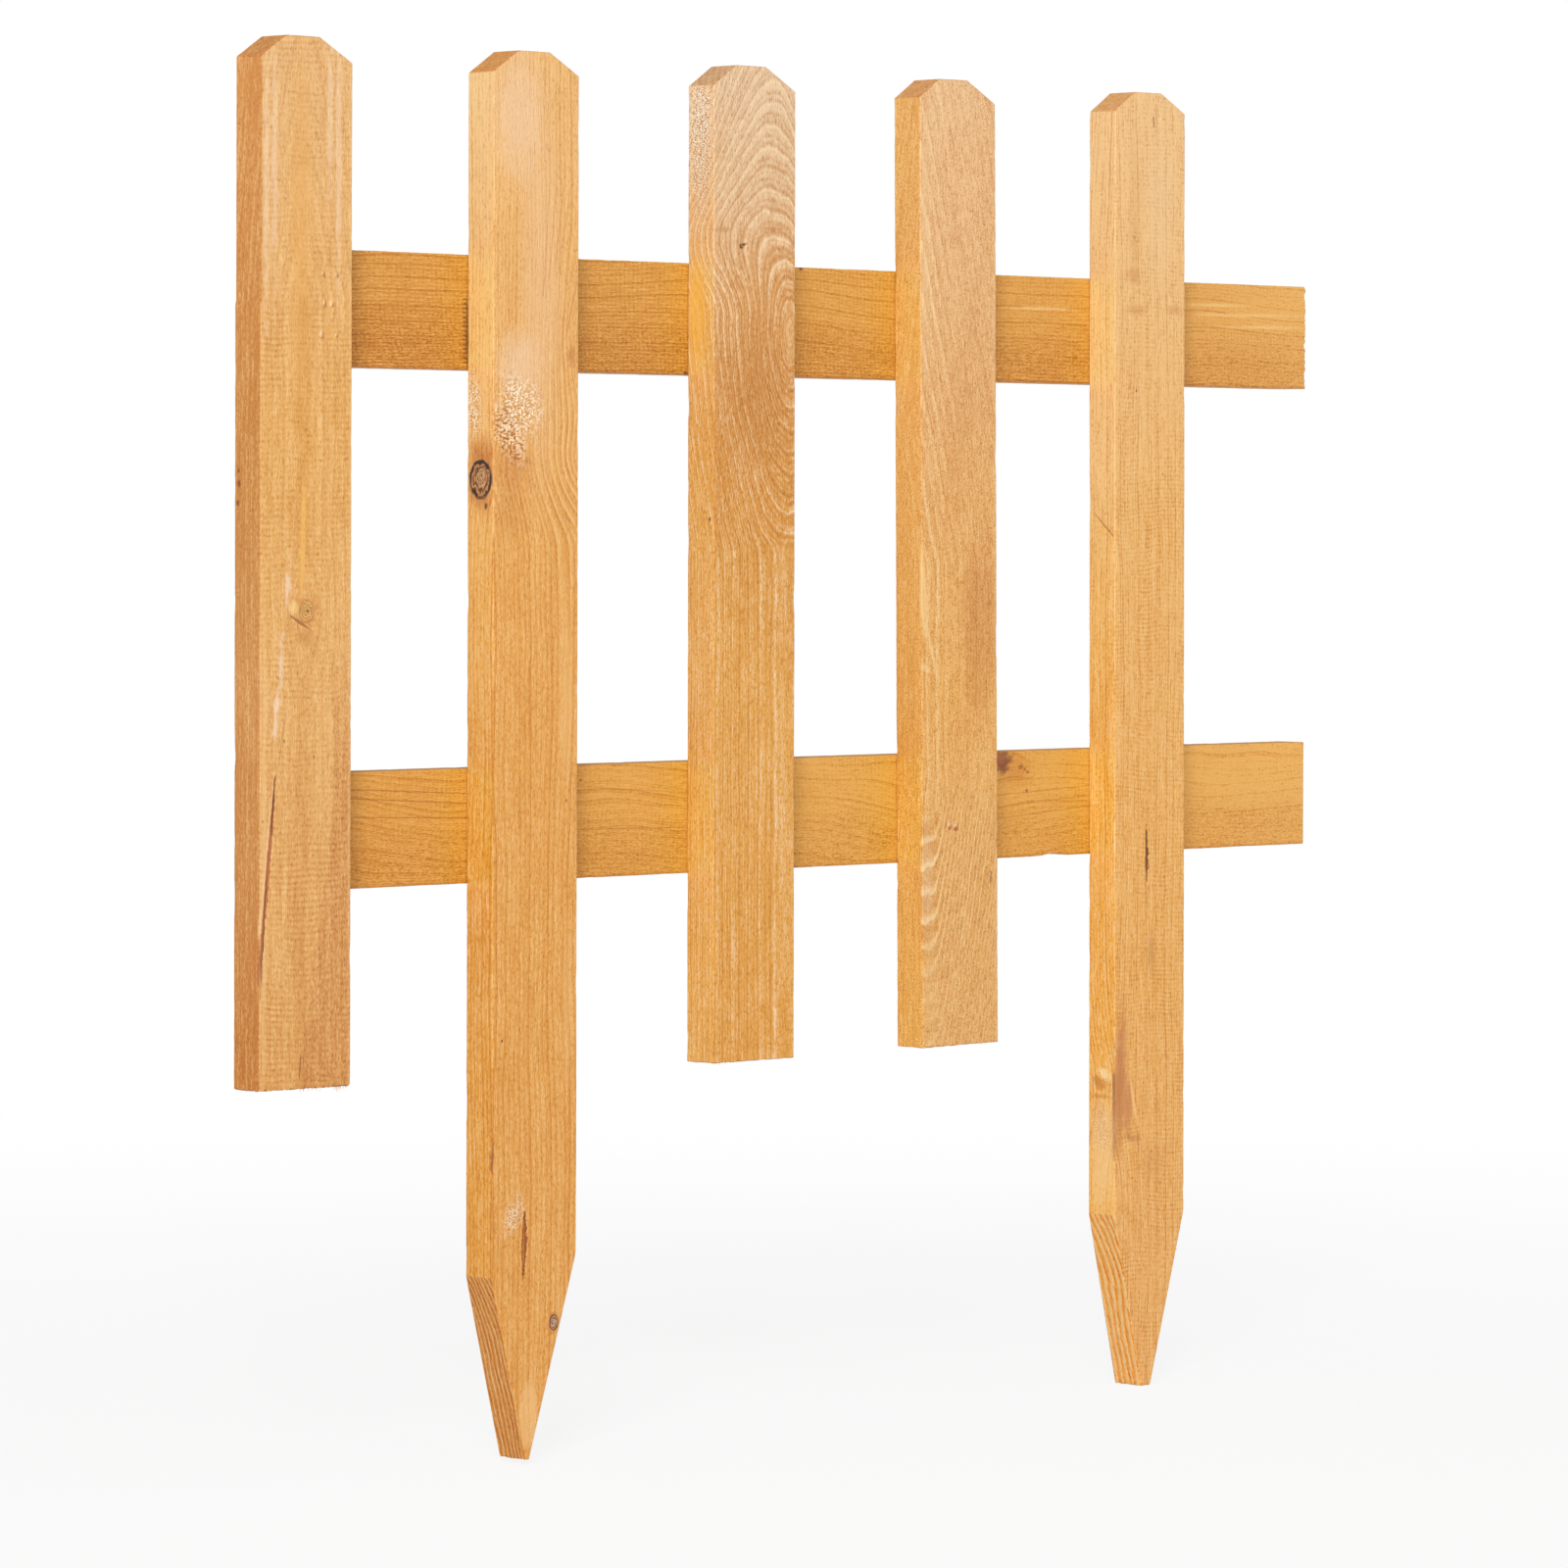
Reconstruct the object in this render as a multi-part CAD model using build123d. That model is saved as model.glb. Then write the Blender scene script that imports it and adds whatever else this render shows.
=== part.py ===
from build123d import *
import os

os.makedirs("parts", exist_ok=True)

# Millimetres and degrees. +X runs along the fence, -Y is its front, +Z is up.
# The origin is the middle of picket 3's foot, at ground level.

# Pickets
picket_width = 45.0
picket_thickness = 15.0
picket_pitch = 120.0
picket_height = 400.0
picket_1_shortfall = 2.0

# Clipped heads, whose two corner cuts are not quite alike
left_cut_run = 13.0
right_cut_run = 15.5
head_cut_rise = 8.5

# Stakes, which are longer and end in a point below the ground
stake_depth = 150.0
stake_5_excess = 2.0

# Rails, one piece each behind the pickets
rail_width = 45.0
rail_thickness = 15.0
rail_bottom_edge = 76.0
rail_top_edge = 321.0
panel_joint_gap = 1.0

# Staples, driven from behind with their crowns level, three at each crossing
staple_crown = 7.0
staple_wire = 1.2
staple_leg = 27.5
staple_bend_radius = 1.4
staple_chisel = 2.0
staple_spacing = 11.5

# Each upright: node, its number in the row, its steps from picket 3, the depth of its
# lower end and its lean, which takes the foot to +X where it is positive
uprights = [
    ("picket_1", 1, -2, -picket_1_shortfall, -0.2),
    ("stake_2", 2, -1, stake_depth, -0.15),
    ("picket_3", 3, 0, 0.0, 0.0),
    ("picket_4", 4, 1, 0.0, 0.5),
    ("stake_5", 5, 2, stake_depth + stake_5_excess, 0.25),
]
staple_rows = {"upper": 1, "middle": 0, "lower": -1}

# Stake points: how far each side's cut runs up, where the tip is and how blunt
stake_points = {
    "stake_2": {"left_rise": 71.0, "right_rise": 79.0, "tip_x": -3.5, "tip_width": 2.0},
    "stake_5": {"left_rise": 74.5, "right_rise": 75.0, "tip_x": -2.5, "tip_width": 6.0},
}

# Planes of the pickets and the rails, from front to back
picket_back = picket_thickness / 2
rail_back = picket_back + rail_thickness

# The rails start behind the middle of picket 1, so that two panels share a picket
rail_start = uprights[0][2] * picket_pitch
rail_length = len(uprights) * picket_pitch - panel_joint_gap
rail_centres = {
    "bottom": rail_bottom_edge + rail_width / 2,
    "top": rail_top_edge - rail_width / 2,
}
lean_pivot = (rail_centres["bottom"] + rail_centres["top"]) / 2


def upright(node, steps, depth, lean):
    """One picket or stake, upright and then leaned about the height between the rails."""
    left = -picket_width / 2
    right = picket_width / 2
    head = [
        (right, picket_height - head_cut_rise),
        (right - right_cut_run, picket_height),
        (left + left_cut_run, picket_height),
        (left, picket_height - head_cut_rise),
    ]
    if node in stake_points:
        point = stake_points[node]
        tip_left = point["tip_x"] - point["tip_width"] / 2
        tip_right = point["tip_x"] + point["tip_width"] / 2
        foot = [
            (left, -depth + point["left_rise"]),
            (tip_left, -depth),
            (tip_right, -depth),
            (right, -depth + point["right_rise"]),
        ]
    else:
        foot = [(left, -depth), (right, -depth)]
    outline = make_face(Polyline(*head, *foot, close=True))
    board = extrude(Plane.XZ * outline, amount=picket_thickness / 2, both=True)
    leaned = Pos(0, 0, lean_pivot) * Rot(0, -lean, 0) * Pos(0, 0, -lean_pivot) * board
    return Pos(steps * picket_pitch, 0, 0) * leaned


def rail(centre_z):
    """One rail, square at both ends."""
    middle = (rail_start + rail_length / 2, picket_back + rail_thickness / 2, centre_z)
    return Pos(*middle) * Box(rail_length, rail_thickness, rail_width)


def staple():
    """One staple with its crown's outer face at y = 0 and its chisel-ended legs along -Y."""
    half = staple_crown / 2
    crown = Rectangle(staple_crown, staple_leg, align=(Align.CENTER, Align.MAX))
    crown = fillet(crown.vertices().group_by(Axis.Y)[-1], staple_bend_radius)
    hollow = Rectangle(staple_crown - 2 * staple_wire, staple_leg, align=(Align.CENTER, Align.MAX))
    wire = crown - Pos(0, -staple_wire, 0) * hollow
    wire = extrude(wire, amount=staple_wire / 2, both=True)
    for side in (-1, 1):
        inner = side * (half - staple_wire)
        outer = side * half
        corner = Polyline((inner, -staple_leg), (outer, -staple_leg), (outer, -staple_leg + staple_chisel), close=True)
        wire -= extrude(make_face(corner), amount=staple_wire, both=True)
    return wire


def crossing_x(steps):
    """X of the staples at a crossing: the middle of the width that the rail and picket share."""
    left = max(steps * picket_pitch - picket_width / 2, rail_start)
    right = min(steps * picket_pitch + picket_width / 2, rail_start + rail_length)
    return (left + right) / 2


pieces = {node: upright(node, steps, depth, lean) for node, number, steps, depth, lean in uprights}
for level, centre_z in rail_centres.items():
    pieces[f"rail_{level}"] = rail(centre_z)

# Each staple fills the slot that its legs and crown press into the wood
for level, centre_z in rail_centres.items():
    for node, number, steps, depth, lean in uprights:
        for name, row in staple_rows.items():
            driven = Pos(crossing_x(steps), rail_back, centre_z + row * staple_spacing) * staple()
            pieces[f"rail_{level}"] -= driven
            pieces[node] -= driven
            pieces[f"staple_{level}_{number}_{name}"] = driven

for node, solid in pieces.items():
    export_step(solid, f"parts/{node}.step")
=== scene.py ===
import math
import random

import bmesh
import bpy
from mathutils import Matrix, Vector, noise


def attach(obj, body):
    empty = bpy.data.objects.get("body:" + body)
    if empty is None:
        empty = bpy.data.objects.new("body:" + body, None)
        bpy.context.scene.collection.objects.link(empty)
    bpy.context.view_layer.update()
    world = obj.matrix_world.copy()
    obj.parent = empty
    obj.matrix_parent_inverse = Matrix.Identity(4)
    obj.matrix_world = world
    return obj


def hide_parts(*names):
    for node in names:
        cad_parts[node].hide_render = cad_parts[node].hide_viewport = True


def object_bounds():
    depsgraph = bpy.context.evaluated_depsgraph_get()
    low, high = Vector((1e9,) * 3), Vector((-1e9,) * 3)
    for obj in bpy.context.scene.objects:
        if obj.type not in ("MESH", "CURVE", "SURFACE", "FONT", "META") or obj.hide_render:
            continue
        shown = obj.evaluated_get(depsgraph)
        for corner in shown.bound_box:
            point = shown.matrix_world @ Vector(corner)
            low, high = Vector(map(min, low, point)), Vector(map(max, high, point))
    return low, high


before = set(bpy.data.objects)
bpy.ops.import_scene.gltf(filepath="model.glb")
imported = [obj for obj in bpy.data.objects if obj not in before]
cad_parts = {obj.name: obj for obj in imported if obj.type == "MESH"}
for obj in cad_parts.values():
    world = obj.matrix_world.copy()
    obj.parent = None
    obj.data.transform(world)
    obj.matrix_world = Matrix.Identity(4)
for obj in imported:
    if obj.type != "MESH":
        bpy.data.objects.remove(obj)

cad_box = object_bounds()

# Lengths are in millimetres on a board's own axes: across its width, through its
# thickness from front to back, and along its grain. MM takes them to the frame.
MM = 0.001
WIDTH = 45.0
THICK = 15.0
HALF = WIDTH / 2
FACE = THICK / 2
PITCH = 120.0
PICKET_TOP = 400.0
LEFT_CUT_RUN = 13.0
RIGHT_CUT_RUN = 15.5
HEAD_RISE = 8.5
STAKE_DEPTH = 150.0
RAIL_MIDDLES = {"bottom": 98.5, "top": 298.5}
RAIL_START = -2 * PITCH
RAIL_END = RAIL_START + 5 * PITCH - 1.0
LEAN_PIVOT = (RAIL_MIDDLES["bottom"] + RAIL_MIDDLES["top"]) / 2
STAPLE_ROWS = (-11.5, 0.0, 11.5)
STAPLE_COLUMNS = (-228.75, -PITCH, 0.0, PITCH, 2 * PITCH)
PICKET_1_BUMPS = ((8.4, 311.0), (15.3, 311.0), (9.2, 300.0), (13.0, 299.5), (7.8, 288.0), (15.2, 288.0))

# Camera, as a metre place and a turn that the photograph's edges fit
CAMERA_PLACE = (-2.0081, -2.0071, 0.2169)
CAMERA_YAW = 45.375
CAMERA_PITCH = -2.124
CAMERA_ROLL = -0.113
CAMERA_LENS = 161.67


def tone(red, green, blue):
    """A colour written as 0 to 255 screen values, as the shader's linear values."""
    def linear(value):
        share = value / 255
        return share / 12.92 if share <= 0.04045 else ((share + 0.055) / 1.055) ** 2.4
    return (linear(red), linear(green), linear(blue), 1.0)


KEY_POWER = 255.0
FILL_POWER = 10.0
SKY_STRENGTH = 0.36
FLOOR_SIZE = 12.0
FLOOR_GAP = 0.0002
BUMP_STRENGTH = 0.6
BUMP_HEIGHT = 0.3 * MM
WHITE = (1.0, 1.0, 1.0, 1.0)
PAPER = (0.86, 0.86, 0.86, 1.0)

# Tints that multiply the wood, and the pale wood between the stain
STAIN_SHADE = (0.74, 0.57, 0.36, 1.0)
RED_SHADE = (0.74, 0.52, 0.38, 1.0)
END_GRAIN = (0.8, 0.47, 0.16, 1.0)
POINT_SHADE = (0.96, 0.84, 0.62, 1.0)
# Painted bounce light on a picket's side in front of a rail
BAY_BOUNCE_TINT = (0.965, 1.07, 1.04, 1.0)
# Painted warm bounce light on a rail just left of each picket
RAIL_BOUNCE_TINT = (0.96, 1.02, 0.82, 1.0)
CREASE = (0.6, 0.36, 0.17, 1.0)
# Painted highlight for the glints on crawled lacquer
GLINT = tone(255, 240, 214)
# Painted highlight on the top of a staple's bump
BEAD_HIGHLIGHT = tone(250, 216, 168)
LATE_WOOD = tone(245, 203, 140)
RAIL_LATE_WOOD = tone(236, 182, 102)


class Field:
    """A number at each point of the wood, held as a socket of one material's nodes."""

    def __init__(self, recipe, socket):
        self.recipe = recipe
        self.socket = socket

    def math(self, operation, *others):
        return self.recipe.math(operation, self, *others)

    def __add__(self, other):
        return self.math("ADD", other)

    def __sub__(self, other):
        return self.math("SUBTRACT", other)

    def __rsub__(self, other):
        return self.recipe.math("SUBTRACT", other, self)

    def __mul__(self, other):
        return self.math("MULTIPLY", other)

    def __truediv__(self, other):
        return self.math("DIVIDE", other)

    def size(self):
        return self.math("ABSOLUTE")

    def fraction(self):
        return self.math("FRACT")

    def power(self, exponent):
        return self.math("POWER", exponent)

    def at_least(self, value):
        return self.math("MAXIMUM", value)

    def at_most(self, value):
        return self.math("MINIMUM", value)

    def rise(self, low, high):
        """0 below low, 1 above high and smooth between them."""
        made = self.recipe.node("ShaderNodeMapRange", interpolation_type="SMOOTHSTEP")
        self.recipe.fill(made, Value=self, From_Min=low, From_Max=high)
        return Field(self.recipe, made.outputs["Result"])

    def fall(self, low, high):
        """1 below low, 0 above high and smooth between them."""
        return 1 - self.rise(low, high)


class Recipe:
    """The nodes of one material, or of the world, written as short formulas."""

    def __init__(self, holder):
        holder.use_nodes = True
        self.tree = holder.node_tree
        self.tree.nodes.clear()

    def node(self, kind, **settings):
        made = self.tree.nodes.new(kind)
        for name, value in settings.items():
            setattr(made, name, value)
        return made

    def feed(self, socket, value):
        if isinstance(value, Field):
            self.tree.links.new(value.socket, socket)
        else:
            socket.default_value = value

    def fill(self, made, **values):
        """Feeds a node's sockets by name, with _ for a space."""
        for name, value in values.items():
            self.feed(made.inputs[name.replace("_", " ")], value)
        return made

    def math(self, operation, *values):
        made = self.node("ShaderNodeMath", operation=operation)
        for socket, value in zip(made.inputs, values):
            self.feed(socket, value)
        return Field(self, made.outputs[0])

    def hypot(self, first, second):
        return (first * first + second * second).math("SQRT")

    def point(self, x, y, z):
        made = self.node("ShaderNodeCombineXYZ")
        for socket, value in zip(made.inputs, (x, y, z)):
            self.feed(socket, value)
        return Field(self, made.outputs[0])

    def noise(self, x, y, z, detail=1, roughness=0.5):
        """Smooth noise about 0, mostly between -1 and 1."""
        made = self.node("ShaderNodeTexNoise")
        self.fill(made, Vector=self.point(x, y, z), Scale=1, Detail=detail, Roughness=roughness)
        return (Field(self, made.outputs["Fac"]) - 0.5) * 3

    def chance(self, number):
        """A steady random share for each whole number."""
        made = self.node("ShaderNodeTexWhiteNoise", noise_dimensions="1D")
        self.feed(made.inputs["W"], number.math("FLOOR"))
        return Field(self, made.outputs["Value"])

    def split(self, vector):
        parts = self.node("ShaderNodeSeparateXYZ")
        self.tree.links.new(vector, parts.inputs[0])
        return [Field(self, output) for output in parts.outputs]

    def either_ray(self, first, second):
        """1 for rays of one of two kinds."""
        path = self.node("ShaderNodeLightPath")
        return Field(self, path.outputs[first]).at_least(Field(self, path.outputs[second]))

    def plain(self, kind, colour, **values):
        """A shader with one colour, for the floor and the world."""
        return self.fill(self.node(kind), Color=colour, **values).outputs[0]

    def join(self, factor, first, second):
        made = self.node("ShaderNodeMixShader")
        self.feed(made.inputs["Fac"], factor)
        self.tree.links.new(first, made.inputs[1])
        self.tree.links.new(second, made.inputs[2])
        return made.outputs[0]

    def show(self, shader, kind="ShaderNodeOutputMaterial"):
        self.tree.links.new(shader, self.node(kind).inputs["Surface"])

    def attribute(self, name):
        made = self.node("ShaderNodeAttribute", attribute_name=name)
        return Field(self, made.outputs["Fac"])

    def board_axes(self, centre, lean, lying):
        """Across, through and along, in millimetres from the board's own zero."""
        place = self.node("ShaderNodeTexCoord")
        turned = self.node("ShaderNodeMapping", vector_type="TEXTURE")
        self.tree.links.new(place.outputs["Object"], turned.inputs["Vector"])
        shift = LEAN_PIVOT * math.sin(math.radians(lean))
        zero = (centre[0] + shift, centre[1], centre[2])
        turned.inputs["Location"].default_value = [value * MM for value in zero]
        turned.inputs["Rotation"].default_value = (0, -math.radians(lean), 0)
        turned.inputs["Scale"].default_value = (MM, MM, MM)
        x, y, z = self.split(turned.outputs["Vector"])
        return (z, y, x) if lying else (x, y, z)

    def mix(self, factor, first, second, way="MIX"):
        made = self.node("ShaderNodeMix", data_type="RGBA", blend_type=way)
        self.feed(made.inputs["Factor"], factor)
        self.feed(made.inputs[6], first)
        self.feed(made.inputs[7], second)
        return Field(self, made.outputs[2])

    def tones(self, along, stops):
        """Colours set at heights along the board, with smooth changes between them."""
        low, high = stops[0][0], stops[-1][0]
        made = self.node("ShaderNodeValToRGB")
        self.feed(made.inputs["Fac"], (along - low) / (high - low))
        ramp = made.color_ramp
        while len(ramp.elements) < len(stops):
            ramp.elements.new(0.5)
        for element, (height, colour) in zip(ramp.elements, stops):
            element.position = (height - low) / (high - low)
            element.color = tone(*colour)
        return Field(self, made.outputs["Color"])


# What a batten looks like where its own list says nothing else
PLAIN_LOOKS = {
    "lean": 0, "lying": False, "spare": (0, 0), "hollows": [], "torn": 0.4, "arris": 0.15,
    "dark_lines": 0.3, "pale_lines": 0.1, "pale_width": 0.3, "uneven": 0.75, "fine_lines": 0.1,
    "line_fade": None, "low_lines": 1, "streaks": 0.3, "speckle": 0.4, "speckle_size": (0.8, 1.5),
    "contrast": 1.2, "side_contrast": 0.2, "saw": 0, "saw_pitch": 2.3, "low_stain": 0.3,
    "late_wood": LATE_WOOD, "bay_shade": BAY_BOUNCE_TINT, "cut_stain": 1, "point_shade": POINT_SHADE,
    "point_streaks": 0.9, "point_depth": 0.05, "point_pitch": 2.2, "point_pale": 0.35,
}


class Board:
    """One batten; places are in its own millimetres and colours are 0 to 255."""

    def __init__(self, name, low, high, seed, front, **looks):
        self.name = name
        self.low = low
        self.high = high
        self.seed = seed
        self.front = front
        self.side = front
        for key, value in {**PLAIN_LOOKS, **looks}.items():
            setattr(self, key, value)


class Wood(Recipe):
    """The stained sawn softwood of one board."""

    def __init__(self, board):
        self.material = bpy.data.materials.new(board.name + "_wood")
        super().__init__(self.material)
        self.board = board
        self.across, self.through, self.along = self.board_axes(board.centre, board.lean, board.lying)
        across, through, along = self.across, self.through, self.along
        self.drift = self.noise(across * 0.02, through * 0.02, along * 0.008 + board.seed)
        self.ripple = self.noise(across * 0.09, through * 0.09, along * 0.03 + board.seed)
        self.ragged = self.noise(across / 2.2, through / 2.2, along / 4 + board.seed, 2)
        self.fleck = self.noise(across / board.speckle_size[0], through / board.speckle_size[0],
                                along / board.speckle_size[1], 1, 0.6)
        self.relief = self.fleck * (0.35 * board.speckle) + self.ragged * 0.2
        self.rough = self.fleck * 0.06
        self.side_face = self.attribute("side")
        self.cut_face = self.attribute("cut")
        self.point_face = self.attribute("point")
        self.front = through.fall(-FACE + 0.6, -FACE + 2)
        self.shares = {"front": self.front, "left": self.side_face}
        # Front and left side take colours by height, partly the wood's own tones and partly painted light:
        # the paler picket tops are partly a painted sheen, and the left side's colours are partly painted
        # light and shade on that face.
        self.colour = self.mix(self.side_face, self.tones(along + self.drift * 25, board.front),
                               self.tones(along + self.drift * 25, board.side))
        self.count = board.rings(self)
        self.deepen(self.grain() + self.saw_marks())
        board.marks(self)
        if board.bay_shade and not board.lying:
            self.bays()
        self.edges_and_cuts()
        self.finish()

    def tint(self, share, shade):
        """Multiplies the colour so far by a shade."""
        self.colour = self.mix(share, self.colour, shade, "MULTIPLY")

    def cover(self, share, colour):
        """Lays a colour over the colour so far."""
        self.colour = self.mix(share, self.colour, colour)

    def deepen(self, depth):
        """Darkens towards the stain's shade above 0 and pales below 0."""
        self.tint(depth.at_least(0).at_most(1), STAIN_SHADE)
        self.cover((depth * -1).at_least(0).at_most(1), self.board.late_wood)

    def hill(self, centre, reach):
        """1 at a place, falling away smoothly over its reach."""
        away = (self.across - centre[0]) / reach[0]
        past = (self.along - centre[1]) / reach[1]
        return (away * away + past * past).math("MULTIPLY", -1).math("EXPONENT")

    def grain(self):
        """Growth rings, fibre streaks and flecks, as a depth of stain."""
        board = self.board
        turn = self.count.fraction()
        luck = self.chance(self.count)
        dark = turn.rise(0.2, 0.75) * turn.fall(0.84, 1) * (luck * 0.9 + 0.2)
        pale = turn.rise(0.5 - board.pale_width, 0.58) * turn.fall(0.6, 0.64 + board.pale_width * 0.4)
        pale = pale * (luck * -board.uneven + 1) * (self.ragged * 0.3 + 0.9)
        if board.line_fade:
            pale = pale * (self.across.fall(*board.line_fade) * 0.85 + 0.15) * (1 - self.side_face * 0.75)
            pale = pale * (self.along.rise(84, 116) * 0.9 + 0.1)
        if board.low_lines != 1:
            upper = self.along.rise(262, 322)
            pale = pale.power(2 - upper) * (upper * (1 - board.low_lines) + board.low_lines)
        fine = ((self.count * 3).fraction() - 0.5).size().fall(0, 0.35)
        layer = self.through / 2.5 + self.across / 3
        streak = self.noise(self.count * 2.3, layer, self.along / 18, 2, 0.6)
        thread = self.noise(self.across / 0.5, self.through / 0.5, self.along / 4.5 + board.seed, 1)
        self.streak = streak
        self.thread = thread
        pores = self.fleck.rise(0.25, 0.6)
        self.relief = self.relief + thread * 0.35 - pores * (board.speckle * 1.2)
        depth = dark * board.dark_lines - pale * board.pale_lines + (fine - 0.35) * board.fine_lines
        depth = depth + streak * board.streaks + thread * (board.speckle * 0.8)
        depth = depth + self.fleck * (board.speckle * 0.8) + pores * (board.speckle * 0.6)
        depth = depth + self.ripple * 0.12 - board.dark_lines * 0.25
        depth = depth + board.pale_lines * 0.2 - board.speckle * 0.1
        return depth * (self.side_face * board.side_contrast + board.contrast)

    def saw_marks(self):
        """The band saw's ripples, which run across the board's front."""
        board = self.board
        if not board.saw:
            return 0
        sway = self.drift * 4 + self.ripple * 0.8
        number = (self.along + self.across * 0.03 + sway) / board.saw_pitch
        ripple = (number.fraction() - 0.5).size().fall(0, 0.4) - 0.4
        broken = (self.thread * 0.6 + self.ragged * 0.9 + self.ripple * 0.8 + 0.6).at_least(0)
        reach = self.front * (self.chance(number + 900) * 0.9 + 0.5)
        self.relief = self.relief - ripple * (board.saw * 0.5)
        return ripple * reach * broken * board.saw

    def ellipse(self, centre, reach, slant=0, face="front", wobble=0.5):
        """Distance from a place on a face, where 1 is the rim of an ellipse."""
        level = self.across if face == "front" else self.through
        away = (level - (self.along - centre[1]) * slant - centre[0]) / reach[0]
        past = (self.along - centre[1]) / reach[1]
        return self.hypot(away, past) + self.ragged * (wobble * 0.4)

    def spot(self, centre, reach, slant, face, wobble, soft):
        """1 inside an ellipse with a soft rim, and 0 outside it."""
        spread = self.ellipse(centre, reach, slant, face, wobble)
        return spread.fall(1 - soft, 1 + soft * 0.4) * self.shares[face]

    def patch(self, centre, reach, colour, strength, slant=0, face="front", wobble=0.6, soft=0.7):
        share = self.spot(centre, reach, slant, face, wobble, soft) * strength
        self.cover(share, tone(*colour))

    def stain(self, centre, reach, tint, strength, face="front"):
        share = self.spot(centre, reach, 0, face, 0.6, 0.7) * strength
        self.tint(share, tint)

    def knot(self, centre, reach, heart, rim, strength, face="front"):
        """A branch's cut end: broken rings inside a dark rim, in browner wood."""
        level = self.ellipse(centre, reach, 0, face, 0.35)
        share = self.shares[face]
        halo = (level - 1.1).size().fall(0, 0.7) * share
        self.tint(halo * (0.55 * strength), RED_SHADE)
        rings = ((level * 2.6 + self.ragged * 0.7).fraction() - 0.5).size() * 2 + self.fleck * 0.5
        body = self.mix(rings.rise(0.1, 0.9), tone(*[value * 0.55 for value in heart]), tone(*heart))
        self.cover(level.fall(0.88, 1) * share * strength, body)
        band = (level - 0.96 + self.fleck * 0.03).size().fall(0.04, 0.16) * (self.ragged * 0.8 + 0.9) * share
        self.cover((band * strength).at_least(0).at_most(1), tone(*rim))

    def cleft(self, start, end, width, colour, strength, wobble=0.5, shape=0.6):
        """A crack or streak from start to end; shape 0.6 is a lens."""
        share = (self.along - start[1]) / (end[1] - start[1])
        middle = share * (end[0] - start[0]) + start[0] + self.ragged * (wobble * 0.5)
        belly = (share * (1 - share) * 4).at_least(0).power(shape) * (width / 2)
        gap = (self.across - middle).size() - belly * (self.fleck * 0.35 + 0.95)
        inside = gap.fall(-0.15, 0.2) * share.rise(0, 0.03) * share.fall(0.97, 1)
        self.cover(inside * self.front * strength, tone(*colour))

    def dot(self, centre, radius, face="front", colour=(84, 50, 30)):
        spread = self.ellipse(centre, (radius, radius * 1.3), 0, face, 1.6)
        self.cover(spread.fall(0.4, 1.2) * self.shares[face] * 0.85, tone(*colour))

    def wrinkles(self, centre, reach, glint, crease, size, slant=0, face="front"):
        """Thick lacquer that has crawled: dark creases between beads, whose glints are painted highlights.
        """
        spread = self.ellipse(centre, reach, slant, face, 0.9).fall(0.35, 1.1) * self.shares[face]
        crawl = self.noise(self.across / size, self.through / size, self.along / (size * 0.62), 1)
        valley = (spread * crawl.fall(-0.5, 0.05) * crease).at_most(1)
        self.tint(valley, CREASE)
        # The glints are painted highlights on the beads.
        spark = crawl.rise(-0.1, 0.35) * (self.ragged * 0.4 + 0.9).at_least(0)
        self.cover((spread * spark * glint).at_most(1), GLINT)
        self.relief = self.relief + spread * crawl

    def bead(self, centre, radius):
        """A point where a staple's leg has pushed the wood up, with a painted highlight on its top and a
        painted shadow below and right of it.
        """
        top = self.ellipse(centre, (radius, radius * 1.6), wobble=1.8).fall(0.1, 0.9) * self.front
        foot = (centre[0] + 0.8, centre[1] - 0.6)
        shadow = self.ellipse(foot, (radius, radius * 1.3), wobble=1.8).fall(0.4, 1.25) * self.front
        # Painted shadow below the bump and a painted highlight on its top.
        self.tint(shadow, RED_SHADE)
        self.cover(top * 0.8, BEAD_HIGHLIGHT)

    def bays(self):
        """A painted tint for the yellow bounce light on a picket's side where a rail lies behind it."""
        for level in RAIL_MIDDLES.values():
            near = (self.along - level).size().fall(HALF - 4, HALF + 3)
            self.tint(near * self.side_face, self.board.bay_shade)

    def edges_and_cuts(self):
        """Paler arrises, partly wear and partly a painted highlight, and thirsty end grain, with the rings
        as lines on a point's cut.
        """
        edge = (HALF - self.across.size()) + (FACE - self.through.size())
        # The arrises' paleness is partly wear and partly a painted highlight.
        worn_and_lit_edge = edge.fall(0.4, 1.1) * (self.streak * 0.5 + 0.6)
        self.cover((worn_and_lit_edge * self.board.arris).at_least(0), self.board.late_wood)
        cut = self.cut_face
        point = self.point_face
        self.tint(cut * (1 - point) * self.board.cut_stain, END_GRAIN)
        self.tint(point, self.board.point_shade)
        bend = (self.along + 110).at_least(0).power(2) * 0.008
        layer = self.through - bend + self.ripple * 1.2 + self.ragged * 0.3
        line = (layer / self.board.point_pitch).fraction()
        shine = line.fall(0, self.board.point_pale) * self.board.point_streaks
        stripe = line.rise(0.25, 0.7) * line.fall(0.75, 0.95) * 0.8 - shine
        on_point = point * (stripe + self.streak * 0.3 + self.board.point_depth)
        self.deepen(on_point + cut * (self.ragged * 0.35 + self.fleck * 0.35))
        self.relief = self.relief - point * stripe * 1.2
        self.rough = self.rough + cut * 0.3

    def finish(self):
        shader = self.node("ShaderNodeBsdfPrincipled")
        dull = (self.rough + 0.45).at_least(0.25)
        self.fill(shader, Base_Color=self.colour, Roughness=dull, Specular_IOR_Level=0.4)
        bump = self.node("ShaderNodeBump")
        self.fill(bump, Strength=BUMP_STRENGTH, Distance=BUMP_HEIGHT, Height=self.relief)
        self.tree.links.new(bump.outputs["Normal"], shader.inputs["Normal"])
        self.show(shader.outputs["BSDF"])


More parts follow.
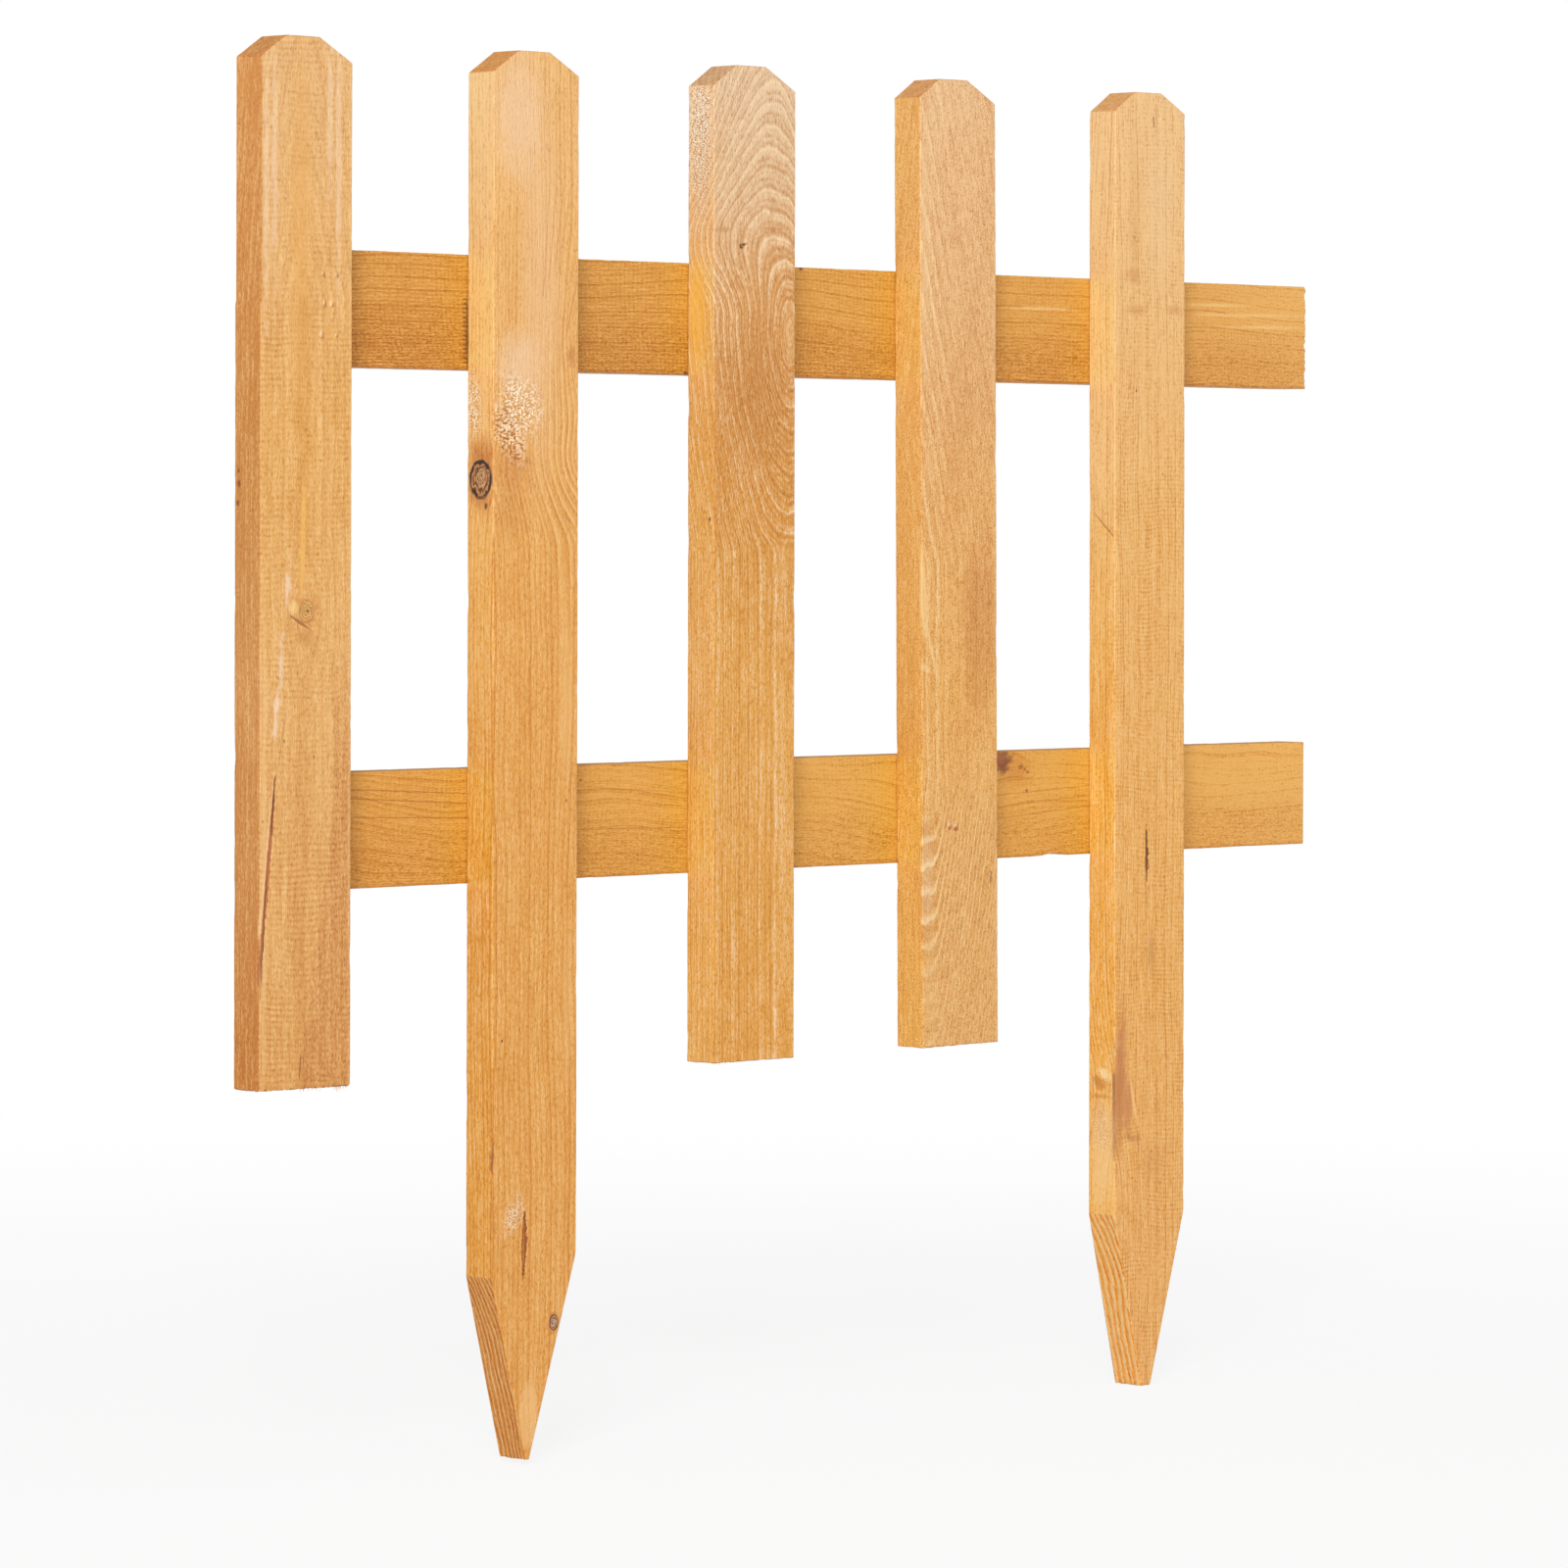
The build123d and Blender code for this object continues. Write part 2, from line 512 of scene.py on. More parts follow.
# How the growth rings run on each board: a count that rises by 1 from ring to ring

def picket_1_rings(wood):
    """Steep arches up the middle of the face."""
    away = (wood.across + 1 + wood.drift * 3 + wood.ripple) / 4.6
    knot = wood.hill((0.6, 183), (9, 14)) * -1.6
    rise = (wood.along + wood.ripple * 3).at_least(300) / 26
    return wood.hypot(away, 1.7) + rise + wood.through / 3 + knot + 40


def stake_2_rings(wood):
    """Close upright lines, pushed right below the side knot, with a nest at each edge knot."""
    level = wood.across + wood.drift * 2 + wood.ripple * 0.5
    push = wood.along.fall(206, 246) * (wood.across * 0.3 + 8.75)
    nests = wood.hill((27, 242), (10, 11)) * 4 + wood.hill((25, 288), (10, 24)) * 6
    side = wood.hill((-24, 234), (9, 12)) * wood.through.size() * 0.25
    return (level - push) / 1.9 + wood.through / 2.1 + nests + side + 60


def picket_3_rings(wood):
    """Ovals round a swirl at the right-hand edge, tight at the left and drawn out below."""
    across, along = wood.across + wood.ripple * 0.7, wood.along + wood.ripple * 1.8 + wood.ragged * 0.8
    bow = wood.hypot(across - 10.3, 10) - 10
    above = (along - 294 + bow * 0.16) / (8.6 - bow * 0.13)
    drawn = ((294 - along) * 0.3).at_least((along - 294) * 0.45).at_most(26)
    below = (wood.hypot(across - 21, drawn) + (294 - along).at_least(0).at_most(90) * 0.12) / 3.6
    turn = along.rise(298, 342)
    return below + (above - below) * turn + (wood.through + FACE) / 3.4 + 30


def picket_4_rings(wood):
    """Lines that leave the left arris downwards and turn back under it near the foot."""
    tilt = (wood.along.at_most(110) - 60).at_least(0) * 0.25
    level = wood.across + wood.ripple * 1.2 + (wood.along - 200).at_least(0) * 0.28 - tilt + 16.4
    turned = (110 - wood.along + wood.ripple).at_least(0) / 10.5 * wood.front
    return wood.hypot(level / 5.6, turned) + (wood.through + FACE) / 3 + 30


def stake_5_rings(wood):
    """Close upright lines that bend round the knot on the left."""
    level = wood.across + wood.drift * 3 + wood.ripple * 0.7
    return level / 1.5 + wood.through / 1.7 + wood.hill((-24, -26), (11, 24)) * 4.5 + 60


def rail_top_rings(wood):
    return (wood.across + wood.drift * 5 + wood.ripple * 0.6) / 1.6 + wood.through / 2.4 + 60


def rail_bottom_rings(wood):
    level = wood.across + wood.drift * 8 + wood.ripple * 0.8 + wood.along * 0.03
    return level / 2.2 + wood.through / 2.4 + wood.hill((22, 168), (9, 13)) * -3 + 60


# What shows on each board

def picket_1_marks(wood):
    for place, reach in (((-19.6, 345), 60), ((-15.6, 352), 48), ((12.2, 372), 34), ((16.6, 350), 55)):
        wood.patch(place, (1.7, reach), (242, 208, 170), 0.5, wobble=1.4)
    wood.patch((-2.5, 330), (6.5, 70), (226, 166, 86), 0.45)
    wood.patch((-20.5, 90), (1.5, 110), (240, 196, 134), 0.45)
    wood.patch((-1, 212), (1.6, 26), (240, 184, 92), 0.6, 0.03, wobble=0.2)
    # Painted gloss highlights: pale streaks on the lacquer near the knot.
    for place, reach in (((-8.6, 192), 8), ((-12, 164), 9), ((-13.8, 150), 6), ((-14.5, 140), 5)):
        wood.patch(place, (1.7, reach), (246, 216, 186), 0.6, 0.07, wobble=2.6, soft=0.9)
    edge = wood.across - wood.along.rise(5, 115) * 14 + wood.ragged * 1.2
    red = edge.rise(-2.5, 2.5) * wood.along.fall(120, 185) * wood.front
    wood.tint(red * (wood.fleck * 0.3 + 0.42), RED_SHADE)
    wood.cleft((-23.6, 52), (-16, 118), 1.2, (248, 200, 146), 0.6, wobble=0.7)
    wood.cleft((-22.9, 40), (-14.4, 122), 1.9, (168, 92, 50), 0.85, wobble=0.6, shape=0.4)
    wood.cleft((-22.2, 36), (-18.2, 92), 0.5, (96, 50, 26), 0.8)
    wood.cleft((-16.6, 98), (-14.6, 122), 0.7, (84, 44, 24), 0.8)
    wood.cleft((-15, 116), (-9.3, 146), 0.4, (164, 104, 54), 0.6)
    wood.cleft((-2.6, 6), (-1.6, 16), 0.8, (150, 92, 54), 0.8)
    wood.cleft((-0.8, 6), (0.4, 22), 0.4, (150, 92, 54), 0.6)
    wood.patch((-5.5, 184.5), (3, 3), (248, 206, 134), 0.7)
    wood.knot((0.8, 183), (3.9, 4.6), (236, 174, 92), (190, 128, 64), 0.6)
    wood.patch((-2, 178.6), (1.5, 3.2), (158, 98, 48), 0.85, -1.8, soft=0.4)
    wood.patch((0.5, 173.5), (6, 4), (196, 132, 66), 0.5)
    wood.patch((1.6, 183.2), (1.2, 0.7), (146, 90, 46), 0.9)
    for place in PICKET_1_BUMPS:
        wood.bead(place, 1)
    for place in ((5.2, 236), (4.6, 231), (5.4, 224)):
        wood.dot(place, 1, "left", (120, 70, 40))
    for place in ((-10.3, 134), (4.6, 128), (8, 240), (-21, 104)):
        wood.dot(place, 0.5, colour=(140, 86, 50))


def stake_2_marks(wood):
    flow = wood.hill((15, 248), (13, 55)) * ((wood.count * 0.5).fraction().rise(0.2, 0.8) * 0.8 - 0.4)
    wood.deepen(flow)
    wood.patch((2, 312), (12, 75), (238, 194, 148), 0.45)
    wood.patch((-10, 375), (14, 28), (242, 206, 168), 0.5)
    wood.patch((17, 150), (4, 40), (238, 186, 116), 0.5)
    wood.patch((17.5, 30), (3.5, 38), (238, 186, 116), 0.4)
    wood.patch((-3, -132), (5, 14), (242, 192, 126), 0.6, wobble=0.2, soft=0.3)
    # Painted sheen on the lacquer above the crawled patch.
    wood.patch((-10, 279), (13, 13), (240, 204, 164), 0.55)
    wood.stain((-13, 238), (11, 12), RED_SHADE, 0.5)
    wood.stain((-14, 220), (9, 12), STAIN_SHADE, 0.4)
    wood.stain((-1, 244), (9, 7), RED_SHADE, 0.8, face="left")
    wood.stain((-1, 224), (8, 6), RED_SHADE, 0.4, face="left")
    wood.wrinkles((-9, 262), (14, 15), 1, 0.35, 1.1, -0.2)
    wood.wrinkles((-14.5, 251), (10, 13), 0.7, 1, 1.3, -0.4)
    wood.wrinkles((4, 262), (5.5, 14), 1, 0.4, 1, face="left")
    wood.wrinkles((-11, -54), (6, 9), 0.8, 0.25, 0.8, 0.4)
    wood.knot((-0.1, 233.6), (6.1, 7.4), (208, 146, 88), (56, 38, 30), 1, "left")
    wood.knot((-0.6, 234), (3.4, 4.6), (224, 168, 112), (84, 54, 40), 0.7, "left")
    wood.patch((19, 281.3), (4, 4.5), (200, 132, 68), 0.7, wobble=2.4)
    for low, high, foot in ((3.4, 7, 304), (6.4, 10.6, 310), (9.6, 14.6, 314), (13, 18.4, 320)):
        wood.cleft((low, foot), (high, 350), 0.55, (202, 140, 78), 0.6, wobble=0.3, shape=0.2)
        wood.cleft((high, 347), (high - 0.4, 394), 0.5, (206, 146, 84), 0.5, wobble=0.3, shape=0.2)
    wood.cleft((15.4, 288), (21.8, 312), 0.8, (198, 134, 72), 0.6, wobble=0.4, shape=0.3)
    wood.cleft((13, 278), (14.6, 302), 0.6, (202, 140, 78), 0.5, wobble=0.4, shape=0.3)
    wood.knot((10.6, -97), (2.3, 3), (216, 164, 124), (74, 44, 30), 1)
    wood.cleft((-22.6, -37), (-22.2, -22), 0.7, (150, 88, 48), 0.8)
    wood.cleft((-5.7, -79.5), (-5, -52), 3, (140, 70, 28), 0.95, wobble=1.2)
    wood.cleft((-5.4, -74), (-5.4, -60), 0.8, (232, 172, 108), 0.8, wobble=2.4)
    for place in ((-10.3, 132), (-17.6, 15), (16.6, 108.1)):
        wood.dot(place, 0.5)
    wood.dot((-3, 223), 0.9, "left")


def picket_3_marks(wood):
    wood.wrinkles((0.5, 368), (9, 32), 1, 0.85, 0.8, face="left")
    wood.wrinkles((0.5, 382), (9, 16), 0.8, 0.3, 1, face="left")
    wood.patch((2, 303), (6, 28), (240, 176, 66), 0.6, face="left")
    wood.patch((21, 292), (3.5, 12), (246, 204, 146), 0.3)
    wood.stain((2, 268), (20, 34), STAIN_SHADE, 0.35)
    wood.patch((-17, 334), (5, 1.3), (196, 138, 84), 0.6)
    wood.patch((11, 335.2), (6.5, 0.9), (196, 134, 80), 0.7, wobble=1)
    wood.patch((-5.9, 327.8), (1.6, 1.4), (92, 54, 30), 1, 1.3, wobble=1, soft=0.4)
    wood.dot((-5.2, 218.3), 0.9, "left", (110, 66, 40))


def picket_4_limbs(wood):
    """Fine lines that come down from the right and turn under the left arris as pale bands."""
    bend = (wood.hypot(wood.across + 11.5, 4.5) + wood.across + 11.5) / 4.2
    number = bend + (140 - wood.along).at_least(0) / 10.5 + wood.ripple * 0.35 + wood.ragged * 0.08
    turn = number.fraction()
    pale = turn.rise(0.25, 0.55) * turn.fall(0.6, 0.72) * (wood.chance(number) * 0.7 + 0.55)
    reach = wood.across.fall(-14, -4) * 0.25 + 0.75
    fade = wood.along.fall(84, 116) * (wood.along.rise(28, 55) * 0.5 + 0.5)
    wood.deepen((0.26 - pale) * reach * fade * wood.front)


def picket_4_marks(wood):
    picket_4_limbs(wood)
    wood.patch((-19, 330), (3.5, 60), (240, 200, 146), 0.35)
    wood.patch((-19, 70), (4, 26), (238, 204, 164), 0.3)
    wood.patch((-17, 24), (6, 26), (236, 188, 116), 0.3)
    wood.patch((-20.3, 187), (2.2, 21), (246, 202, 134), 0.8, -0.05, soft=0.4)
    wood.patch((-15.6, 164), (1, 12), (248, 208, 150), 0.7, -0.25, wobble=0.4)
    wood.patch((-19, 157), (3, 2.2), (246, 204, 146), 0.7, -0.8)
    wood.stain((14, 172), (12, 42), RED_SHADE, 0.5)
    for place in ((-5.5, 91.8), (-1.6, 91.4)):
        wood.bead(place, 1.1)
        wood.dot((place[0], place[1] - 1.2), 0.8, colour=(160, 86, 44))
    wood.cleft((19.5, 66), (20, 72), 1, (160, 98, 50), 0.8)


def stake_5_marks(wood):
    wood.patch((6, 350), (12, 40), (244, 206, 154), 0.35)
    wood.stain((-11, 322), (6, 4), RED_SHADE, 0.45)
    wood.stain((-9, 307.5), (7, 2.6), RED_SHADE, 0.5)
    wood.stain((15, 308), (7, 2.2), RED_SHADE, 0.4)
    wood.stain((-10, 350), (5, 40), STAIN_SHADE, 0.18)
    wood.patch((-19, -20), (4.4, 34), (194, 120, 68), 0.8, 0.05)
    wood.patch((-14.5, -30), (5, 14), (208, 138, 82), 0.8)
    wood.patch((-10.2, -29), (1, 12), (250, 200, 132), 0.8, -0.22, wobble=0.3)
    wood.patch((-11.5, -45), (5.5, 1.9), (184, 114, 60), 0.6, -0.8, wobble=2, soft=0.9)
    wood.cleft((-22.4, -55), (-22.2, -16), 0.8, (140, 78, 42), 0.7, wobble=0.3, shape=0.3)
    wood.patch((-1, -52), (8, 28), (250, 206, 142), 0.6, face="left")
    wood.wrinkles((0, -40), (7, 14), 0.3, 0.5, 0.9, 0.2, "left")
    wood.patch((1, -27), (6.5, 1.1), (194, 122, 56), 0.6, 0.7, "left", 2.4)
    wood.patch((1.6, -21.5), (4.2, 3.4), (186, 110, 46), 0.6, 0.7, "left", 1.4)
    wood.patch((-1.6, -17.5), (3.6, 2.8), (254, 220, 164), 0.85, 0.9, "left", 1.6)
    wood.stain((2, -56), (9, 9), RED_SHADE, 0.25)
    wood.cleft((-1.4, 63), (-2.2, 88.5), 1.8, (104, 54, 26), 0.95, wobble=0.6)
    wood.cleft((-2.6, 50), (-2.8, 78), 0.6, (176, 112, 56), 0.7, wobble=0.8)
    wood.patch((1, 34), (3.5, 9), (204, 144, 84), 0.5)
    wood.patch((-1.4, 216), (0.8, 5.5), (172, 106, 54), 0.65, 1.1, "left", 0.3, 0.4)
    wood.dot((-9, 273.4), 0.6)
    wood.dot((8, 238), 0.6)
    wood.cleft((2, 385), (2, 390), 0.7, (130, 78, 46), 0.8)


def rail_top_marks(wood):
    rail_tones(wood)
    for step in range(15):
        level = 5 - step * 1.75
        wood.patch((level, -144), (0.45, 1.6), (120, 72, 36), 0.8, wobble=0.4)
    wood.patch((-8, -142.9), (15, 0.9), (96, 60, 34), 0.6)
    wood.dot((-22, -23.6), 0.9)
    wood.dot((22, 42.5), 1)
    for level, place, reach in ((9, 318, 44), (4, 330, 30), (13, 300, 26), (9, 186, 24)):
        wood.patch((level, place), (0.9, reach), (250, 202, 128), 0.7, 0.01)


def rail_bottom_marks(wood):
    rail_tones(wood)
    for first, last in ((16.3, 12.4), (12.9, 8.5), (5.4, 3)):
        wood.cleft((first, -214), (last, -136), 0.45, (170, 104, 40), 0.75, wobble=0.3, shape=0.2)
    wood.patch((18.5, 164), (5, 6.5), (136, 78, 52), 0.9, wobble=1.6)
    wood.patch((19.5, 162.5), (2.4, 4), (182, 110, 72), 0.8, wobble=2)
    wood.stain((15, 172), (8, 10), RED_SHADE, 0.5)
    for place, size in (((15.6, 175.4), 1.1), ((13.6, 179.6), 0.9), ((14.6, 178), 0.8), ((5.6, 179), 0.7),
                        ((16.4, -81.3), 0.6)):
        wood.dot(place, size, colour=(166, 100, 44))
    for first, last in ((4, 7), (-1, 3), (-6, -1.5)):
        wood.cleft((first, 158), (last, 222), 0.45, (184, 116, 50), 0.6, wobble=0.8, shape=0.2)
    wood.cleft((-3, -96), (-4.2, -10), 0.4, (176, 110, 50), 0.6, wobble=0.2, shape=0.2)
    wood.cleft((15, -96), (9, -10), 0.4, (190, 126, 56), 0.5, wobble=0.2, shape=0.2)


def rail_tones(wood):
    """A rail's browner, grittier lower half, a darker line along its lower edge, and painted warm bounce
    light on the rail just left of each picket.
    """
    front = wood.front
    low = (wood.across * -1 + wood.ripple * 3).rise(-6, 14) * front
    wood.deepen(low * (wood.fleck * 0.5 + wood.thread * 0.25 + wood.board.low_stain))
    wood.tint(wood.across.fall(-22, -20.8) * front * 0.6, STAIN_SHADE)
    step = (wood.along / PITCH + 0.5).fraction()
    # Painted warm bounce light on the rail just left of each picket.
    painted_bounce = step.rise(0.12, 0.3) * step.fall(0.31, 0.36) * wood.along.fall(285, 295) * front
    wood.tint(painted_bounce, RAIL_BOUNCE_TINT)


def standing(name, steps, low, lean, seed, front, **looks):
    return Board(name, low, PICKET_TOP, seed, front, centre=(steps * PITCH, 0, 0), lean=lean, **looks)


def lying(name, level, seed, front, **looks):
    centre = (0, THICK, RAIL_MIDDLES[level])
    work = staple_boxes() + [((-23, -8, 353), (23, 8, 360), 2)]
    return Board(name, RAIL_START, RAIL_END, seed, front, centre=centre, lying=True, close_work=work,
                 pale_lines=0, streaks=0.2, speckle_size=(0.5, 1.6), late_wood=RAIL_LATE_WOOD, **looks)


def staple_dents():
    """Where the crowns have sunk into a rail's back."""
    places = [(row, place) for place in STAPLE_COLUMNS for row in STAPLE_ROWS]
    return [("pit", "back", place, (1.7, 5.2), 0.5) for place in places]


def staple_boxes():
    return [((-15.5, 6.5, place - 7), (15.5, 8, place + 7), 2) for place in STAPLE_COLUMNS]


def pit(across, along, wide, high, depth, face="front"):
    """A round hollow, or a bump where the depth is below 0."""
    return ("pit", face, (across, along), (wide, high), depth)


def front_box(left, low, right, high, cuts):
    """Where a picket's front is divided more finely."""
    return ((left, -FACE - 0.5, low), (right, -FACE + 1, high), cuts)


HEAD_BOX = ((-24, -8, 388), (24.5, 8, 401), 2)
# The front and side colours by height are partly the wood's tones and partly painted light: paler tops as a
# painted sheen, side colours as painted light and shade on the left face.
PICKETS = [
    standing("picket_1", -2, 2, -0.2, 3.1, [(0, (217, 156, 84)), (150, (223, 167, 98)),
        (250, (221, 163, 87)), (400, (224, 174, 116))], side=[(0, (195, 119, 40)), (150, (208, 143, 76)),
        (250, (201, 133, 61)), (400, (212, 143, 74))], spare=(0, 1.1), rings=picket_1_rings,
        dark_lines=0.15, pale_lines=0.3, contrast=1.15, side_contrast=-0.15, saw=0.36, arris=0.3,
        cut_stain=0.7, bay_shade=None, marks=picket_1_marks, torn=0.8,
        hollows=[("step", "left", 298.6, 1.5, 0.7), ("split", "front", (-22.9, 40), (-14.4, 122, 1.2), 0.4),
        pit(0.6, 183.4, 4, 5, 0.3),
        pit(11.5, 299.5, 9, 20, 0.25)] + [pit(*place, 1.2, 1.7, -0.5) for place in PICKET_1_BUMPS],
        close_work=[((-24, -8, 1), (24, 8, 6), 2), HEAD_BOX, front_box(5, 283, 18.5, 315, 3),
        front_box(-24, 36, -10, 124, 2), front_box(-6, 175, 8, 192, 2), ((-24, -8, 295), (-19, 8, 302), 2)],
        fibres=[((-2, -7, 4), (22.5, -6, 4), (0, -0.1, -3.8), 30, 0.5),
        ((-14, -6.8, 395.5), (-10, -6.8, 397.5), (-2, -0.2, 2.2), 5, 0.6),
        ((8, -6.8, 398), (22, -6.8, 391), (0.8, -0.2, 1.6), 10, 0.45)]),
    standing("stake_2", -1, -STAKE_DEPTH, -0.15, 11.7, [(-150, (224, 157, 74)), (50, (222, 155, 69)),
        (200, (226, 161, 79)), (400, (232, 180, 113))], side=[(-150, (226, 154, 50)), (50, (223, 151, 52)),
        (200, (235, 173, 86)), (400, (245, 202, 142))], spare=(0.4, 0.2), rings=stake_2_rings,
        dark_lines=0.6, pale_lines=0.25, cut_stain=0.65, contrast=1.1, arris=0, marks=stake_2_marks,
        hollows=[("split", "front", (-5.4, -79.5), (-5, -52, 1.3), 1.8),
        ("wrinkle", "front", (-11, 257), (14, 20), 0.4), ("wrinkle", "left", (3, 262), (5.5, 14), 0.3),
        pit(-0.3, 234, 6, 7.5, 0.35, "left"), pit(10.6, -97, 2.5, 3.4, 0.4),
        pit(19.6, 281.3, 3.4, 4.4, 0.3)], close_work=[HEAD_BOX, front_box(-23, 237, 3, 276, 4),
        ((-23.5, -7, 224), (-22, 8, 278), 3), front_box(-9, -83, -1, -49, 4),
        front_box(7, -102, 14, -92, 2), front_box(16, 276, 24, 287, 2)],
        fibres=[((-21.5, -6.9, 391), (-14, -6.9, 396), (-1.3, -0.3, 1.2), 14, 0.5),
        ((-21, -6.9, -84), (-8, -6.9, -144), (-1.2, -0.2, -1), 10, 0.4)]),
    standing("picket_3", 0, 0, 0, 23.3, [(0, (227, 161, 70)), (150, (227, 165, 79)), (240, (215, 149, 68)),
        (300, (216, 157, 92)), (345, (223, 180, 135)), (400, (226, 190, 152))], side=[(0, (235, 172, 78)),
        (150, (235, 175, 92)), (250, (228, 164, 73)), (400, (242, 196, 144))], spare=(0, 1.5),
        rings=picket_3_rings, dark_lines=0.25, pale_lines=0.9, pale_width=0.26, uneven=0.35,
        fine_lines=0.35, low_lines=0.7, late_wood=tone(244, 212, 170), streaks=0.35, speckle=0.45,
        contrast=1.15, cut_stain=0.45, arris=0, marks=picket_3_marks,
        hollows=[pit(-5.9, 327.9, 2.6, 1.4, 1.3), ("wrinkle", "left", (3, 372), (8, 34), 0.3)],
        close_work=[HEAD_BOX, front_box(-10, 323, -1.5, 332, 4), ((-23.5, -8, 340), (-22, 8, 388), 2)],
        fibres=[((-22, -6.9, 1), (-8, -6.9, 1), (0, -0.1, -1.8), 10, 0.35)]),
    standing("picket_4", 1, 0, 0.5, 31.9, [(0, (233, 177, 105)), (150, (236, 177, 96)),
        (250, (232, 175, 111)), (400, (238, 193, 143))], side=[(0, (241, 178, 83)), (150, (236, 171, 81)),
        (400, (240, 182, 103))], spare=(-0.9, 1.5), rings=picket_4_rings, dark_lines=0.2, pale_lines=1,
        pale_width=0.28, fine_lines=0.15, speckle=0.6, speckle_size=(0.6, 0.8), arris=0.25,
        late_wood=tone(248, 211, 156), contrast=1.15, cut_stain=0.65, marks=picket_4_marks,
        line_fade=(-13, 1), hollows=[pit(-3.5, 91.6, 6, 5, 0.2), pit(-5.5, 91.8, 1.2, 1.7, -0.45),
        pit(-1.6, 91.4, 1.2, 1.7, -0.45)], close_work=[HEAD_BOX, front_box(-9, 86, 2.5, 97, 3)],
        fibres=[((5, -6.9, 1), (22, -6.9, 1), (0, -0.1, -1.7), 10, 0.35),
        ((8, -6.9, 398), (16, -6.9, 394), (0.8, -0.2, 1.3), 5, 0.4)]),
    standing("stake_5", 2, -STAKE_DEPTH - 2, 0.25, 47.2, [(-150, (237, 172, 93)), (50, (237, 173, 88)),
        (200, (238, 179, 100)), (400, (243, 197, 139))], side=[(-150, (249, 185, 90)), (40, (243, 171, 61)),
        (170, (244, 181, 86)), (260, (244, 194, 126)), (400, (246, 200, 141))], spare=(0, -0.3),
        rings=stake_5_rings, dark_lines=0.5, pale_lines=0.35, streaks=0.5, saw=0.42, saw_pitch=1.9,
        # stake_5's point_shade lifts its cut above the stain: partly paler bare wood, partly a painted lift
        # against the shade on this downward facet.
        contrast=1.4, point_shade=(1.14, 1.04, 0.86, 1), point_streaks=1.3, point_depth=0.05,
        point_pitch=3.1, point_pale=0.6, side_contrast=0.4, cut_stain=0.5, marks=stake_5_marks, torn=0.8,
        hollows=[("split", "front", (-1.4, 62), (-2.2, 88.5, 0.8), 1.5), pit(-14, -30, 7, 15, 0.25),
        pit(-14.5, -31, 3.5, 11, -0.3), pit(-0.5, -23.5, 4.6, 5.4, 0.35, "left"),
        ("split", "left", (-5.9, 212), (3.2, 220, 0.5), 0.5)], close_work=[HEAD_BOX,
        front_box(-5, 59, 2, 91, 4), front_box(-23.5, -50, -6, -12, 2),
        ((-23.5, -7, -32), (-22, 6, -16), 2), ((-23.5, -8, 209), (-22, 5, 223), 2),
        ((-8, -8, -153), (4, 8, -144), 2)],
        fibres=[((7, -6.9, 398.5), (21.5, -6.9, 391), (0.9, -0.2, 1.2), 12, 0.45),
        ((-4.5, -6.9, -149), (0, -6.9, -149), (0, -0.1, -2.7), 7, 0.5),
        ((-22.3, -6.9, 300), (-22.3, -6.9, 302), (-1.3, 0.2, 2.5), 2, 0.6),
        ((20.5, -6.9, -84), (3, -6.9, -140), (1.2, -0.2, -1), 10, 0.4)]),
]
RAILS = [
    lying("rail_top", "top", 61.3, [(-240, (207, 138, 53)), (-60, (212, 147, 63)), (60, (221, 156, 68)),
        (220, (224, 157, 70)), (359, (243, 182, 98))], rings=rail_top_rings, dark_lines=0.65,
        fine_lines=0.4, speckle=0.42, saw=0.3, low_stain=0.38, marks=rail_top_marks, torn=1.3,
        hollows=staple_dents(), fibres=[((-22, -6.9, 357.2), (22, -6.9, 357.2), (0, -0.1, 1.4), 46, 0.45),
        ((-22, 6.9, 357.2), (22, 6.9, 357.2), (0, 0.1, 1.4), 20, 0.45)]),
    lying("rail_bottom", "bottom", 73.9, [(-240, (217, 149, 60)), (-60, (224, 160, 70)),
        (60, (229, 168, 78)), (200, (233, 169, 75)), (359, (245, 183, 95))], rings=rail_bottom_rings,
        dark_lines=0.5, fine_lines=0.3, speckle=0.38, saw=0.25, marks=rail_bottom_marks, torn=0.15,
        hollows=staple_dents() + [("pit", "below", (-22.5, 196), (3, 9.5), 1), pit(19.8, 167.5, 5, 7, 0.3)],
        fibres=[((-22, -6.9, 357.6), (22, -6.9, 357.6), (0, -0.1, 1.2), 30, 0.4)]),
]
STAKE_POINTS = {
    "stake_2": {"left_rise": 71, "right_rise": 79, "tip": -3.5, "tip_width": 2},
    "stake_5": {"left_rise": 74.5, "right_rise": 75, "tip": -2.5, "tip_width": 6},
}

# Board geometry

GRID = 2.5
ARRIS = 0.35
BREAK_ANGLE = 10
SHARP_ANGLE = 20
SKIN = 0.9
EDGE_SKIN = ARRIS + 0.1
WANDER = 0.06
GRIT = 0.04
CHIP = 0.4
TORN_END = 3
TORN_FOOT = 1


def everything(mesh):
    return mesh.verts[:] + mesh.edges[:] + mesh.faces[:]


def saw_off(mesh, place, outward):
    """Cuts the board by a plane, drops what lies outward of it and closes the cut."""
    cut = bmesh.ops.bisect_plane(mesh, geom=everything(mesh), plane_co=place, plane_no=outward,
                                 clear_outer=True)
    rim = [item for item in cut["geom_cut"] if isinstance(item, bmesh.types.BMEdge)]
    bmesh.ops.edgeloop_fill(mesh, edges=rim)


def score(mesh, place, normal):
    """Adds an edge line round the board, for the relief that follows."""
    bmesh.ops.bisect_plane(mesh, geom=everything(mesh), plane_co=place, plane_no=normal)


def score_between(mesh, low, high, gap, axis):
    count = max(1, round((high - low) / gap))
    normal = Vector([float(step == axis) for step in range(3)])
    for step in range(1, count):
        score(mesh, normal * (low + (high - low) * step / count), normal)


